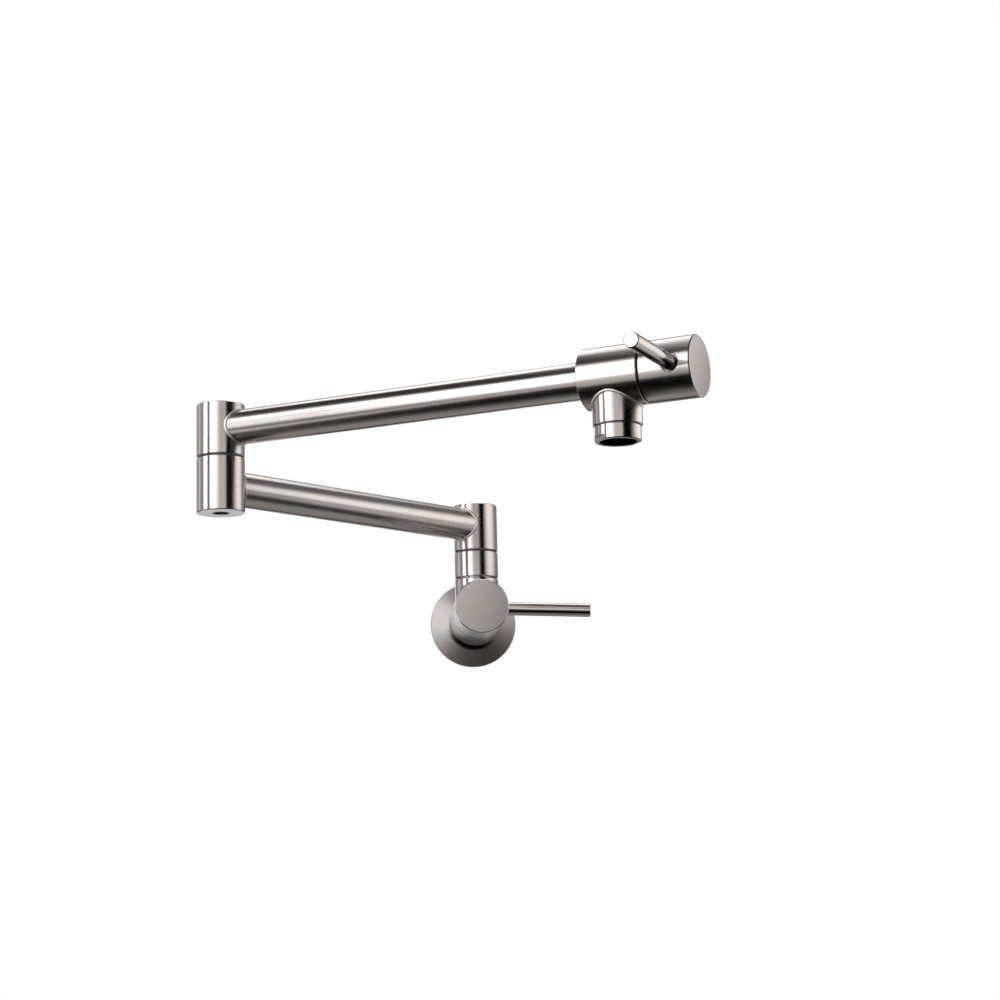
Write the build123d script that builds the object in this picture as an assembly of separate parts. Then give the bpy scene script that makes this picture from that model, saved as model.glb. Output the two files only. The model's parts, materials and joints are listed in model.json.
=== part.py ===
from build123d import *
import math
import os

os.makedirs("parts", exist_ok=True)

# Wall mounted folding kitchen faucet: a wall valve, two swinging arms and a spout valve.
# Millimetres, +Z up. The wall is the plane Y = 0 and the faucet stands out towards -Y.
# The origin is the middle of the inlet's mouth, in the wall plane.

# Layout
wall_to_riser = 47.0
arm_spacing = 36.0
lower_arm_length = 226.0
upper_arm_length = 266.0
lower_arm_heading = 222.2
upper_arm_heading = -29.7
wall_lever_droop = 1.9

# Fits and edges
braze_gap = 0.05
running_gap = 0.05
face_gap = 0.05
seal_gap = 0.02
ring_thickness = 1.7
groove_width = 2.4
edge_bevel = 0.5
cap_bevel = 0.6
small_bevel = 0.3
saddle_bevel = 0.5
neck_saddle_bevel = 0.9
rim_tolerance = 0.01

# Arm tubes
tube_radius = 11.0
tube_wall = 1.5

# Valve barrels, the same for the wall valve and the spout valve, measured from the cross axis
barrel_radius = 18.0
barrel_rear = 18.0
barrel_front = 19.0
barrel_seam = 1.0
barrel_core_wall = 1.8
tube_socket_depth = 6.0
barrel_inlet_radius = 6.0
barrel_outlet_radius = 6.0
cartridge_seat_depth = 8.0

# Cartridges
cartridge_thread_radius = 10.45
cartridge_barrel_radius = 9.0
cartridge_barrel_wall = 1.4
cartridge_barrel_length = 10.5
cartridge_chamber_length = 8.5
cartridge_hex_width = 22.0
cartridge_hex_height = 4.0
gasket_width = 1.4
seal_height = 2.0
seal_stand = 1.5
disc_thickness = 2.4
disc_port_radius = 2.2
disc_port_offset = 4.4
drive_bar_width = 5.0
drive_bar_height = 2.6
drive_tang_width = 2.2
drive_tang_depth = 1.2

# Stems and handles
stem_radius = 4.0
stem_flat = 3.0
stem_drive_length = 9.0
cap_length = 32.0
cap_wall = 3.0
cap_cup_room = 6.5
lever_radius = 4.5
lever_reach = 73.5
lever_setback = 12.0
lever_seat_radius = 12.0
lever_stud_radius = 2.5
lever_stud_length = 6.5
lever_hole_clearance = 0.7
grub_screw_radius = 2.5
grub_screw_length = 8.0
grub_screw_setback = 17.0
grub_socket_width = 2.5
grub_socket_depth = 2.5

# Riser and swivel hubs
hub_radius = 15.0
hub_wall = 1.55
hub_web = 2.5
hub_port_radius = 3.6
riser_stub_height = 25.0
riser_seam = 1.0
riser_nose_wall = 3.95
riser_nose_height = 9.0
riser_collar_height = 17.5
riser_hub_skirt = 18.5
riser_hub_crown = 14.0
elbow_hub_crown = 16.7
upper_hub_crown = 15.5
upper_hub_port_radius = 6.0
upper_hub_chamber_radius = 7.0
swivel_gap = 1.0
swivel_washer = 0.9
swivel_washer_inset = 0.8
swivel_washer_clearance = 0.3

# Spindles and their lock screws
spindle_radius = 8.0
spindle_bore_radius = 4.0
spindle_waist_radius = 6.0
spindle_waist_length = 8.0
spindle_end_land = 4.6
spindle_flange_height = 3.0
pilot_length = 8.0
pilot_seal_height = 1.2
pilot_seal_width = 2.6
cross_hole_radius = 2.6
screw_radius = 3.0
screw_length = 8.0
screw_head_radius = 5.0
screw_head_height = 6.0
screw_socket_width = 5.0
screw_socket_depth = 3.0
screw_recess = 4.5
screw_clearance = 0.2
screw_washer = 0.4

# Spout neck and aerator
neck_radius = 14.5
neck_end = 29.0
neck_skirt = 1.6
neck_bore_radius = 10.0
aerator_radius = 13.5
aerator_height = 8.7
aerator_seam = 0.4
aerator_thread_radius = 12.0
aerator_thread_length = 6.5
aerator_wall = 1.25
aerator_mouth_depth = 3.6
aerator_lip_height = 1.0
aerator_lip_width = 0.85
aerator_washer_height = 2.0
aerator_washer_width = 3.5
aerator_flat_depth = 1.5
aerator_flat_height = 2.8
aerator_flat_turn = 50.0
screen_hole_radius = 0.85
screen_pitch = 2.4
screen_thickness = 2.0
screen_rim = 1.6

# Wall flange and inlet shank
shank_radius = 13.0
shank_bore_radius = 6.5
inlet_thread_radius = 9.3
inlet_thread_length = 16.0
flange_radius = 30.0
flange_rim_height = 2.2
flange_height = 7.5
flange_boss_height = 6.0
flange_boss_wall = 4.2
flange_bore_clearance = 0.3
flange_wall = 1.8
flange_gasket_width = 3.0
flange_gasket_height = 1.75

# Sizes worked out from the ones above
tube_fit_radius = tube_radius + braze_gap
tube_bore_radius = tube_radius - tube_wall
barrel_socket_floor = tube_socket_depth - barrel_rear
cavity_radius = cartridge_thread_radius + running_gap
core_radius = cavity_radius + barrel_core_wall
cap_rear = barrel_front + barrel_seam
cap_face = barrel_front + cap_length
cap_cup_radius = barrel_radius - cap_wall
cup_floor = cap_rear + cartridge_hex_height + cap_cup_room
lever_station = cap_face - lever_setback
grub_station = cap_face - grub_screw_setback
spindle_fit_radius = spindle_radius + running_gap
spindle_braze_radius = spindle_radius + braze_gap
tube_end_offset = spindle_fit_radius + hub_wall
nose_radius = spindle_braze_radius + riser_nose_wall
nose_top = riser_stub_height + riser_nose_height
spindle_flange_top = nose_top + spindle_flange_height
collar_bottom = riser_stub_height + riser_seam
collar_top = collar_bottom + riser_collar_height
lower_arm_height = collar_top + swivel_gap / 2 + riser_hub_skirt
upper_arm_height = lower_arm_height + arm_spacing
elbow_hub_skirt = arm_spacing / 2
recess_radius = screw_head_radius + screw_clearance
recess_depth = screw_recess + screw_head_height + screw_washer + face_gap
neck_fit_radius = neck_radius + braze_gap
neck_top = math.sqrt(barrel_radius**2 - neck_fit_radius**2) - neck_skirt
aerator_mouth_radius = aerator_thread_radius - aerator_wall
flange_bore_radius = shank_radius + flange_bore_clearance
flange_boss_radius = flange_bore_radius + flange_boss_wall
flange_boss_back = flange_height - flange_boss_height


def unit(heading):
    """Level direction at an angle in degrees from +X towards +Y."""
    turn = math.radians(heading)
    return Vector(math.cos(turn), math.sin(turn), 0)


lower_arm_way = unit(lower_arm_heading)
upper_arm_way = unit(upper_arm_heading)
riser_foot = Vector(0, -wall_to_riser, 0)
elbow_foot = riser_foot + lower_arm_way * lower_arm_length
spout_foot = elbow_foot + upper_arm_way * upper_arm_length
up = Vector(0, 0, 1)

# Frames of the assemblies. A valve's +Z runs out to its handle and its +X to its stub or neck.
wall_frame = Plane(origin=(0, 0, 0), x_dir=(0, 0, 1), z_dir=(0, -1, 0)).location
wall_valve_frame = Plane(origin=riser_foot, x_dir=up, z_dir=(0, -1, 0)).location
spout_valve_frame = Plane(
    origin=spout_foot + up * upper_arm_height, x_dir=-up, z_dir=upper_arm_way
).location
# Turns a piece made about Z so that it lies along +X.
across = Plane(origin=(0, 0, 0), x_dir=(0, 0, -1), z_dir=(1, 0, 0)).location
# A hub's origin is where its tube's axis meets its own axis, with +X along the tube.
riser_hub_frame = Plane(
    origin=riser_foot + up * lower_arm_height, x_dir=lower_arm_way, z_dir=up
).location
elbow_hub_frame = Plane(
    origin=elbow_foot + up * lower_arm_height, x_dir=-lower_arm_way, z_dir=-up
).location
upper_hub_frame = Plane(
    origin=elbow_foot + up * upper_arm_height, x_dir=upper_arm_way, z_dir=up
).location
riser_frame = Pos(*riser_foot)
spout_frame = Pos(*spout_foot) * Rot(0, 0, upper_arm_heading)


def disc(radius, low, high):
    """Round bar about Z between two heights."""
    return Pos(0, 0, low) * Cylinder(
        radius, high - low, align=(Align.CENTER, Align.CENTER, Align.MIN)
    )


def ring(outer, inner, low, high):
    """Flat ring about Z."""
    return disc(outer, low, high) - disc(inner, low, high)


def bar(radius, start, end):
    """Round bar from one point to another."""
    run = Vector(*end) - Vector(*start)
    return Plane(origin=start, z_dir=run).location * disc(radius, 0, run.length)


def turned(*outline):
    """Piece turned about Z, from its half outline as radius and height."""
    corners = [(radius, 0, height) for radius, height in outline]
    return revolve(make_face(Polyline(*corners, close=True)), Axis.Z)


def bevelled(radius, low, high, low_bevel, high_bevel):
    """Round bar about Z with bevelled rims; a bevel of 0 leaves that rim sharp."""
    low_rim = [(radius, low)]
    high_rim = [(radius, high)]
    if low_bevel:
        low_rim = [(radius - low_bevel, low), (radius, low + low_bevel)]
    if high_bevel:
        high_rim = [(radius, high - high_bevel), (radius - high_bevel, high)]
    return turned((0, low), *low_rim, *high_rim, (0, high))


def seal_ring(inner_radius, height):
    """Rubber ring of round section about Z."""
    half = ring_thickness / 2
    return Pos(0, 0, height) * Torus(inner_radius + half, half)


def seal_groove(radius, height):
    """What a seal ring's groove takes out of a shaft about Z."""
    half = groove_width / 2
    return ring(2 * radius, radius - ring_thickness, height - half, height + half)


def hex_bar(width, low, high):
    """Six sided bar about Z, by its width across flats."""
    corner_radius = width / math.sqrt(3)
    return Pos(0, 0, low) * extrude(RegularPolygon(corner_radius, 6), high - low)


def bevel_mouth(shape, outside, hole_start, hole_way, hole_radius, size):
    """Bevels the rim that a round hole leaves on a round outside about Z."""
    start = Vector(*hole_start)
    way = Vector(*hole_way)

    def on_rim(edge):
        if edge.geom_type in (GeomType.LINE, GeomType.CIRCLE):
            return False
        for share in (0.0, 0.3, 0.7):
            spot = edge.position_at(share)
            offset = spot - start
            across = (offset - way * offset.dot(way)).length
            if abs(across - hole_radius) > rim_tolerance:
                return False
            if abs(math.hypot(spot.X, spot.Y) - outside) > rim_tolerance:
                return False
        return True

    return chamfer(shape.edges().filter_by(on_rim), size)


def double_d(radius, flat, low, high):
    """Round drive with two flats, which face +X and -X."""
    slab = Pos(0, 0, (low + high) / 2) * Box(2 * flat, 2 * radius, high - low)
    return disc(radius, low, high) & slab


# Valve barrels

def barrel_hollow():
    """Everything that is bored out of a barrel along its axis."""
    hollow = disc(tube_fit_radius, -barrel_rear, barrel_socket_floor)
    hollow += disc(barrel_inlet_radius, barrel_socket_floor, -cartridge_seat_depth)
    return hollow + disc(cavity_radius, -cartridge_seat_depth, barrel_front)


def valve_barrel():
    """The solid barrel that both valves share."""
    return bevelled(barrel_radius, -barrel_rear, barrel_front, edge_bevel, edge_bevel)


def valve_body():
    """Wall valve barrel with its riser stub and nose, in the valve's frame."""
    stub = bevelled(hub_radius, 0, riser_stub_height, 0, edge_bevel)
    stub += disc(nose_radius, riser_stub_height, nose_top)
    body = valve_barrel() + across * stub
    body -= barrel_hollow()
    pilot_low = nose_top - pilot_length - face_gap
    seal_low = nose_top - pilot_seal_height
    bores = disc(barrel_outlet_radius, 0, pilot_low)
    bores += disc(spindle_braze_radius, pilot_low, nose_top)
    bores += disc(spindle_braze_radius + pilot_seal_width, seal_low, nose_top)
    return body - across * bores


def spout_body():
    """Spout valve barrel with the saddle pocket that its neck is brazed into."""
    pocket = across * disc(neck_fit_radius, neck_top, 2 * barrel_radius)
    pocket -= disc(core_radius, -barrel_rear, barrel_front)
    body = valve_barrel() - pocket
    body = bevel_mouth(body, barrel_radius, (0, 0, 0), (1, 0, 0), neck_fit_radius, neck_saddle_bevel)
    body -= barrel_hollow()
    return body - across * disc(barrel_outlet_radius, 0, barrel_radius)


def spout_neck():
    """Short pipe that turns the water down, fish-mouthed over the valve barrel's core."""
    shoulder = neck_end - aerator_thread_length - aerator_washer_height
    neck = bevelled(neck_radius, neck_top + braze_gap, neck_end, 0, edge_bevel)
    neck -= disc(neck_bore_radius, neck_top, shoulder)
    neck -= disc(aerator_thread_radius + running_gap, shoulder, neck_end)
    return across * neck - disc(core_radius + braze_gap, -barrel_rear, barrel_front)


# Cartridge, in the valve's frame

cartridge_low = seal_stand - cartridge_seat_depth
chamber_radius = cartridge_barrel_radius - cartridge_barrel_wall
disc_radius = chamber_radius - running_gap
fixed_disc_low = seal_height - cartridge_seat_depth
turning_disc_low = fixed_disc_low + disc_thickness + seal_gap
drive_bar_low = turning_disc_low + disc_thickness + seal_gap
chamber_top = cartridge_low + cartridge_chamber_length
hex_low = barrel_front + barrel_seam
hex_high = hex_low + cartridge_hex_height
stem_groove = chamber_top + 1.5 * groove_width


def cartridge_housing():
    """Brass housing that screws into the barrel and holds the ceramic discs and the stem."""
    shoulder = cartridge_low + cartridge_barrel_length
    housing = disc(cartridge_barrel_radius, cartridge_low, shoulder)
    housing += disc(cartridge_thread_radius, shoulder, hex_low)
    housing += hex_bar(cartridge_hex_width, hex_low, hex_high)
    housing -= disc(chamber_radius, cartridge_low, chamber_top)
    housing -= disc(stem_radius + running_gap, chamber_top, hex_high)
    window_height = chamber_top - drive_bar_low
    window = Box(3 * cartridge_barrel_radius, 2 * disc_port_radius, window_height)
    return housing - Pos(0, 0, drive_bar_low + window_height / 2) * window


def cartridge_gasket():
    """Gasket under the cartridge's hexagon."""
    inner = cartridge_thread_radius + braze_gap
    return ring(inner + gasket_width, inner, barrel_front, hex_low)


def cartridge_seal():
    """Rubber seal between the seat and the fixed disc."""
    return ring(disc_radius, barrel_inlet_radius, -cartridge_seat_depth, fixed_disc_low)


def ported_disc(low):
    """Ceramic disc with its two round ports, which lie on +X and -X."""
    high = low + disc_thickness
    port = disc(disc_port_radius, low, high)
    plate = disc(disc_radius, low, high)
    return plate - Pos(disc_port_offset, 0, 0) * port - Pos(-disc_port_offset, 0, 0) * port


def drive_notches(width, depth, low, high):
    """Two blocks at the rim of the turning disc, on +Y and -Y, where the stem drives it."""
    block = Box(width, 2 * depth, high - low)
    height = (low + high) / 2
    return Pos(0, disc_radius, height) * block + Pos(0, -disc_radius, height) * block


def fixed_disc():
    """Ceramic disc that stays still, with both ports in line with the windows."""
    return ported_disc(fixed_disc_low)


def turning_disc():
    """Ceramic disc that turns with the handle; its ports are over the fixed ones when open."""
    width = drive_tang_width + 2 * braze_gap
    high = turning_disc_low + disc_thickness
    return ported_disc(turning_disc_low) - drive_notches(width, drive_tang_depth, turning_disc_low, high)


def stem():
    """Brass stem from the drive bar in the cartridge to the double-D end in the handle."""
    tang_depth = drive_tang_depth - braze_gap
    drive = Box(drive_bar_width, 2 * disc_radius, drive_bar_height)
    drive = Pos(0, 0, drive_bar_low + drive_bar_height / 2) * drive
    drive += drive_notches(drive_tang_width, tang_depth, turning_disc_low, drive_bar_low)
    turning_room = disc(disc_radius - running_gap, turning_disc_low, chamber_top)
    shaft = drive & turning_room
    shaft += disc(stem_radius, drive_bar_low, cup_floor)
    shaft += double_d(stem_radius, stem_flat, cup_floor, cup_floor + stem_drive_length)
    return shaft - seal_groove(stem_radius, stem_groove)


def stem_seal():
    """Rubber ring in the stem's groove."""
    return seal_ring(stem_radius + seal_gap - ring_thickness, stem_groove)


# Handles, in the valve's frame with the lever along -Y

def handle_cap():
    """Round handle cap: hollow over the cartridge, solid where the lever and stem go in."""
    cap = bevelled(barrel_radius, cap_rear, cap_face, edge_bevel, cap_bevel)
    cap -= disc(cap_cup_radius, cap_rear, cup_floor)
    drive_top = cup_floor + stem_drive_length + face_gap
    cap -= double_d(stem_radius + braze_gap, stem_flat + braze_gap, cup_floor, drive_top)
    hole_radius = lever_radius + lever_hole_clearance
    lever_axis = Vector(0, 0, lever_station)
    forward = Vector(0, -1, 0)
    seat = lever_axis + forward * lever_seat_radius
    stud_floor = seat - forward * (lever_stud_length + face_gap)
    cap -= bar(hole_radius, seat, lever_axis + forward * 2 * barrel_radius)
    cap = bevel_mouth(cap, barrel_radius, lever_axis, forward, hole_radius, saddle_bevel)
    cap -= bar(lever_stud_radius + braze_gap, stud_floor, seat)
    grub_axis = Vector(0, 0, grub_station)
    grub_radius = grub_screw_radius + braze_gap
    return cap - bar(grub_radius, grub_axis, grub_axis - forward * 2 * barrel_radius)


def lever():
    """Lever pin with its threaded stud."""
    pin = bevelled(lever_radius, lever_seat_radius, lever_reach, small_bevel, edge_bevel)
    pin += disc(lever_stud_radius, lever_seat_radius - lever_stud_length, lever_seat_radius)
    return Plane(origin=(0, 0, lever_station), z_dir=(0, -1, 0)).location * pin


def grub_screw():
    """Grub screw that grips the stem, on the side away from the lever."""
    low = stem_radius + face_gap
    high = low + grub_screw_length
    screw = bevelled(grub_screw_radius, low, high, small_bevel, small_bevel)
    screw -= hex_bar(grub_socket_width, high - grub_socket_depth, high)
    return Plane(origin=(0, 0, grub_station), z_dir=(0, 1, 0)).location * screw


# Swivel hubs, in the hub's frame with +Z towards the lock screw

def web_low(crown):
    """Inner face of the web that the lock screw pulls on."""
    return crown - recess_depth - hub_web


def waist_middle(crown):
    """Height of the middle of the spindle's waist."""
    return web_low(crown) - face_gap - spindle_end_land - spindle_waist_length / 2


def hub_blank(skirt, crown):
    """Hub with its bevelled rims and the socket that its arm tube is brazed into."""
    foot = -skirt + swivel_gap / 2
    hub = bevelled(hub_radius, foot, crown, edge_bevel, edge_bevel)
    hub -= bar(tube_fit_radius, (tube_end_offset, 0, 0), (2 * hub_radius, 0, 0))
    return bevel_mouth(hub, hub_radius, (0, 0, 0), (1, 0, 0), tube_fit_radius, saddle_bevel)


def swivel_hub(skirt, crown):
    """Hub that turns on a spindle and is held by a lock screw in its crown."""
    hub = hub_blank(skirt, crown)
    hub -= disc(spindle_fit_radius, -skirt, web_low(crown))
    hub -= disc(screw_radius + screw_clearance, web_low(crown), crown - recess_depth)
    hub -= disc(recess_radius, crown - recess_depth, crown)
    port = bar(hub_port_radius, (0, 0, 0), (tube_end_offset, 0, 0))
    return hub - Pos(0, 0, waist_middle(crown)) * port


def closed_hub(skirt, crown):
    """Hub whose crown is closed, with the spindle fixed in its skirt."""
    hub = hub_blank(skirt, crown)
    hub -= disc(spindle_braze_radius, -skirt, -upper_hub_port_radius)
    hub -= disc(upper_hub_chamber_radius, -upper_hub_port_radius, upper_hub_port_radius)
    return hub - bar(upper_hub_port_radius, (0, 0, 0), (tube_end_offset, 0, 0))


def groove_heights(skirt, crown):
    """Middle heights of the two seal grooves, one each side of the waist."""
    tip = web_low(crown) - face_gap
    waist_low = waist_middle(crown) - spindle_waist_length / 2
    return tip - spindle_end_land / 2, (waist_low - skirt) / 2


def spindle_blank(root, skirt, crown):
    """Hollow spindle from its root to the lock screw's web, waisted where the water leaves it."""
    tip = web_low(crown) - face_gap
    waist = waist_middle(crown)
    half = spindle_waist_length / 2
    shaft = disc(spindle_radius, root, tip)
    shaft -= ring(2 * spindle_radius, spindle_waist_radius, waist - half, waist + half)
    for height in groove_heights(skirt, crown):
        shaft -= seal_groove(spindle_radius, height)
    shaft -= disc(spindle_bore_radius, root, waist + cross_hole_radius / 2)
    for side in (Vector(spindle_radius, 0, 0), Vector(0, spindle_radius, 0)):
        shaft -= Pos(0, 0, waist) * bar(cross_hole_radius, -side, side)
    screw_end = crown - recess_depth + screw_washer - screw_length
    return shaft - disc(screw_radius + braze_gap, screw_end - face_gap, tip)


def riser_spindle():
    """Spindle with the flange that the riser collar clamps, in the riser hub's frame."""
    flange_low = nose_top - lower_arm_height
    spindle = spindle_blank(flange_low - pilot_length, riser_hub_skirt, riser_hub_crown)
    flange_high = flange_low + spindle_flange_height
    return spindle + ring(nose_radius, spindle_bore_radius, flange_low, flange_high)


def elbow_spindle():
    """Spindle fixed in the upper hub, in the elbow hub's frame."""
    root = upper_hub_port_radius + face_gap - arm_spacing
    return spindle_blank(root, elbow_hub_skirt, elbow_hub_crown)


def spindle_seals(skirt, crown):
    """The two rubber rings on a spindle."""
    inner = spindle_radius + seal_gap - ring_thickness
    return Compound([seal_ring(inner, height) for height in groove_heights(skirt, crown)])


def slip_washer(skirt):
    """Thin slip washer in the gap between two swivel pieces."""
    outer = hub_radius - swivel_washer_inset
    inner = spindle_fit_radius + swivel_washer_clearance
    return ring(outer, inner, -skirt - swivel_washer / 2, -skirt + swivel_washer / 2)


def lock_screw(crown):
    """Socket head screw in the crown of a swivel hub."""
    seat = crown - recess_depth + screw_washer
    top = seat + screw_head_height
    screw = bevelled(screw_head_radius, seat, top, 0, small_bevel)
    screw += disc(screw_radius, seat - screw_length, seat)
    return screw - hex_bar(screw_socket_width, top - screw_socket_depth, top)


def lock_washer(crown):
    """Slip washer under the lock screw's head."""
    low = crown - recess_depth + face_gap / 2
    high = low + screw_washer - face_gap
    return ring(screw_head_radius - braze_gap, screw_radius + screw_clearance, low, high)


def riser_collar():
    """Union nut between the valve body's stub and the lower arm, standing on the riser's axis."""
    collar = bevelled(hub_radius, collar_bottom, collar_top, edge_bevel, edge_bevel)
    collar -= disc(nose_radius + braze_gap, collar_bottom, spindle_flange_top + face_gap)
    return collar - disc(spindle_radius + screw_clearance, spindle_flange_top, collar_top)


def pilot_seal():
    """Rubber ring under the spindle's flange, on the riser's axis."""
    inner = spindle_radius + seal_gap
    return ring(inner + pilot_seal_width, inner, nose_top - pilot_seal_height, nose_top)


# Arm tubes, along +X in the frame of the hub where they start

def arm_tube(end):
    """Plain tube from its hub's socket to the far socket."""
    start = (tube_end_offset + face_gap, 0, 0)
    stop = (end - face_gap, 0, 0)
    return bar(tube_radius, start, stop) - bar(tube_bore_radius, start, stop)


# Aerator, on the spout's axis with heights above the valve's axis plane

neck_foot = upper_arm_height - neck_end
aerator_top = neck_foot - aerator_seam
aerator_foot = aerator_top - aerator_height
thread_top = neck_foot + aerator_thread_length
lip_low = aerator_foot + aerator_mouth_depth
lip_high = lip_low + aerator_lip_height
insert_radius = aerator_mouth_radius - 2 * braze_gap


def aerator_housing():
    """Threaded ring that holds the aerator insert, with two spanner flats at its foot."""
    housing = bevelled(aerator_radius, aerator_foot, aerator_top, edge_bevel, small_bevel)
    housing += disc(aerator_thread_radius, aerator_top, thread_top)
    housing -= disc(aerator_mouth_radius, aerator_foot, lip_low)
    housing -= disc(aerator_mouth_radius - aerator_lip_width, lip_low, lip_high)
    housing -= disc(insert_radius + braze_gap, lip_high, thread_top)
    slab = Box(2 * aerator_flat_depth, 2 * aerator_radius, 2 * aerator_flat_height)
    for turn in (aerator_flat_turn, aerator_flat_turn + 180):
        housing -= Rot(0, 0, turn) * Pos(aerator_radius, 0, aerator_foot) * slab
    return housing


def screen_holes(low, high):
    """Holes on a triangular grid, as many as fit inside the insert's rim."""
    field = insert_radius - screen_rim - screen_hole_radius
    rows = int(field / screen_pitch) + 1
    row_step = screen_pitch * math.sqrt(3) / 2
    spots = []
    for row in range(-rows, rows + 1):
        shift = screen_pitch / 2 if row % 2 else 0
        for place in range(-rows, rows + 1):
            spot = (place * screen_pitch + shift, row * row_step)
            if math.hypot(*spot) <= field:
                spots.append(spot)
    return [Pos(x, y, 0) * disc(screen_hole_radius, low, high) for x, y in spots]


def aerator_insert():
    """Plastic insert: two perforated plates in a thin cup."""
    low = lip_high + face_gap
    insert = disc(insert_radius, low, thread_top)
    insert -= disc(insert_radius - screen_rim, low + screen_thickness, thread_top - screen_thickness)
    return insert - screen_holes(low, thread_top)


def aerator_washer():
    """Rubber washer above the aerator."""
    inner = aerator_thread_radius - aerator_washer_width
    return ring(aerator_thread_radius, inner, thread_top, thread_top + aerator_washer_height)


# Wall side, in the wall's frame with +Z out of the wall

def wall_flange():
    """Dished cover plate with a boss that grips the shank through a rubber ring."""
    flange = turned(
        (flange_bore_radius, flange_height),
        (flange_boss_radius - edge_bevel, flange_height),
        (flange_boss_radius, flange_height - edge_bevel),
        (flange_radius - edge_bevel, flange_rim_height),
        (flange_radius, flange_rim_height - edge_bevel),
        (flange_radius, 0),
        (flange_radius - flange_wall, 0),
        (flange_radius - flange_wall, flange_gasket_height + face_gap),
        (flange_boss_radius, flange_height - edge_bevel - flange_wall),
        (flange_boss_radius, flange_boss_back),
        (flange_bore_radius, flange_boss_back),
    )
    half = groove_width / 2
    groove_radius = shank_radius + ring_thickness + 2 * seal_gap
    middle = (flange_height + flange_boss_back) / 2
    return flange - disc(groove_radius, middle - half, middle + half)


def flange_seal():
    """Rubber ring in the flange's boss."""
    return seal_ring(shank_radius + seal_gap, (flange_height + flange_boss_back) / 2)


def flange_gasket():
    """Flat gasket between the flange and the wall."""
    outer = flange_radius - flange_wall - braze_gap
    return ring(outer, outer - flange_gasket_width, 0, flange_gasket_height)


def inlet_shank():
    """Shank from the valve body back to the wall, with the female inlet thread."""
    front = wall_to_riser - barrel_rear
    spigot_end = front + tube_socket_depth - face_gap
    shank = bevelled(shank_radius, 0, front, small_bevel, small_bevel)
    shank += disc(tube_radius, front, spigot_end)
    shank -= disc(inlet_thread_radius, 0, inlet_thread_length)
    return shank - disc(shank_bore_radius, inlet_thread_length, spigot_end)


# Assembly

def valve_parts(frame, name, lever_turn):
    """The cartridge and handle of one valve, named and placed."""
    handle_frame = frame * Rot(0, 0, lever_turn)
    return {
        f"{name}_cartridge": frame * cartridge_housing(),
        f"{name}_cartridge_gasket": frame * cartridge_gasket(),
        f"{name}_cartridge_seal": frame * cartridge_seal(),
        f"{name}_fixed_disc": frame * fixed_disc(),
        f"{name}_turning_disc": handle_frame * turning_disc(),
        f"{name}_stem": handle_frame * stem(),
        f"{name}_stem_seal": handle_frame * stem_seal(),
        f"{name}_handle_cap": handle_frame * handle_cap(),
        f"{name}_lever": handle_frame * lever(),
        f"{name}_grub_screw": handle_frame * grub_screw(),
    }


parts = {
    "wall_flange": wall_frame * wall_flange(),
    "flange_seal": wall_frame * flange_seal(),
    "flange_gasket": wall_frame * flange_gasket(),
    "inlet_shank": wall_frame * inlet_shank(),
    "valve_body": wall_valve_frame * valve_body(),
    "riser_collar": riser_frame * riser_collar(),
    "riser_spindle": riser_hub_frame * riser_spindle(),
    "riser_pilot_seal": riser_frame * pilot_seal(),
    "riser_spindle_seals": riser_hub_frame * spindle_seals(riser_hub_skirt, riser_hub_crown),
    "riser_slip_washer": riser_hub_frame * slip_washer(riser_hub_skirt),
    "riser_lock_screw": riser_hub_frame * lock_screw(riser_hub_crown),
    "riser_lock_washer": riser_hub_frame * lock_washer(riser_hub_crown),
    "lower_arm_riser_hub": riser_hub_frame * swivel_hub(riser_hub_skirt, riser_hub_crown),
    "lower_arm_tube": riser_hub_frame * arm_tube(lower_arm_length - tube_end_offset),
    "lower_arm_elbow_hub": elbow_hub_frame * swivel_hub(elbow_hub_skirt, elbow_hub_crown),
    "elbow_spindle": elbow_hub_frame * elbow_spindle(),
    "elbow_spindle_seals": elbow_hub_frame * spindle_seals(elbow_hub_skirt, elbow_hub_crown),
    "elbow_slip_washer": elbow_hub_frame * slip_washer(elbow_hub_skirt),
    "elbow_lock_screw": elbow_hub_frame * lock_screw(elbow_hub_crown),
    "elbow_lock_washer": elbow_hub_frame * lock_washer(elbow_hub_crown),
    "upper_arm_elbow_hub": upper_hub_frame * closed_hub(elbow_hub_skirt, upper_hub_crown),
    "upper_arm_tube": upper_hub_frame * arm_tube(upper_arm_length - barrel_rear + tube_socket_depth),
    "spout_body": spout_valve_frame * spout_body(),
    "spout_neck": spout_valve_frame * spout_neck(),
    "aerator_housing": spout_frame * aerator_housing(),
    "aerator_insert": spout_frame * aerator_insert(),
    "aerator_washer": spout_frame * aerator_washer(),
    **valve_parts(wall_valve_frame, "wall", -wall_lever_droop),
    **valve_parts(spout_valve_frame, "spout", 0),
}

for node, shape in parts.items():
    export_step(shape, f"parts/{node}.step")
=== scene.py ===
import json
import math
from typing import NamedTuple

import bmesh
import bpy
from bpy.props import FloatProperty, FloatVectorProperty, PointerProperty
from mathutils import Matrix, Vector


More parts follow.
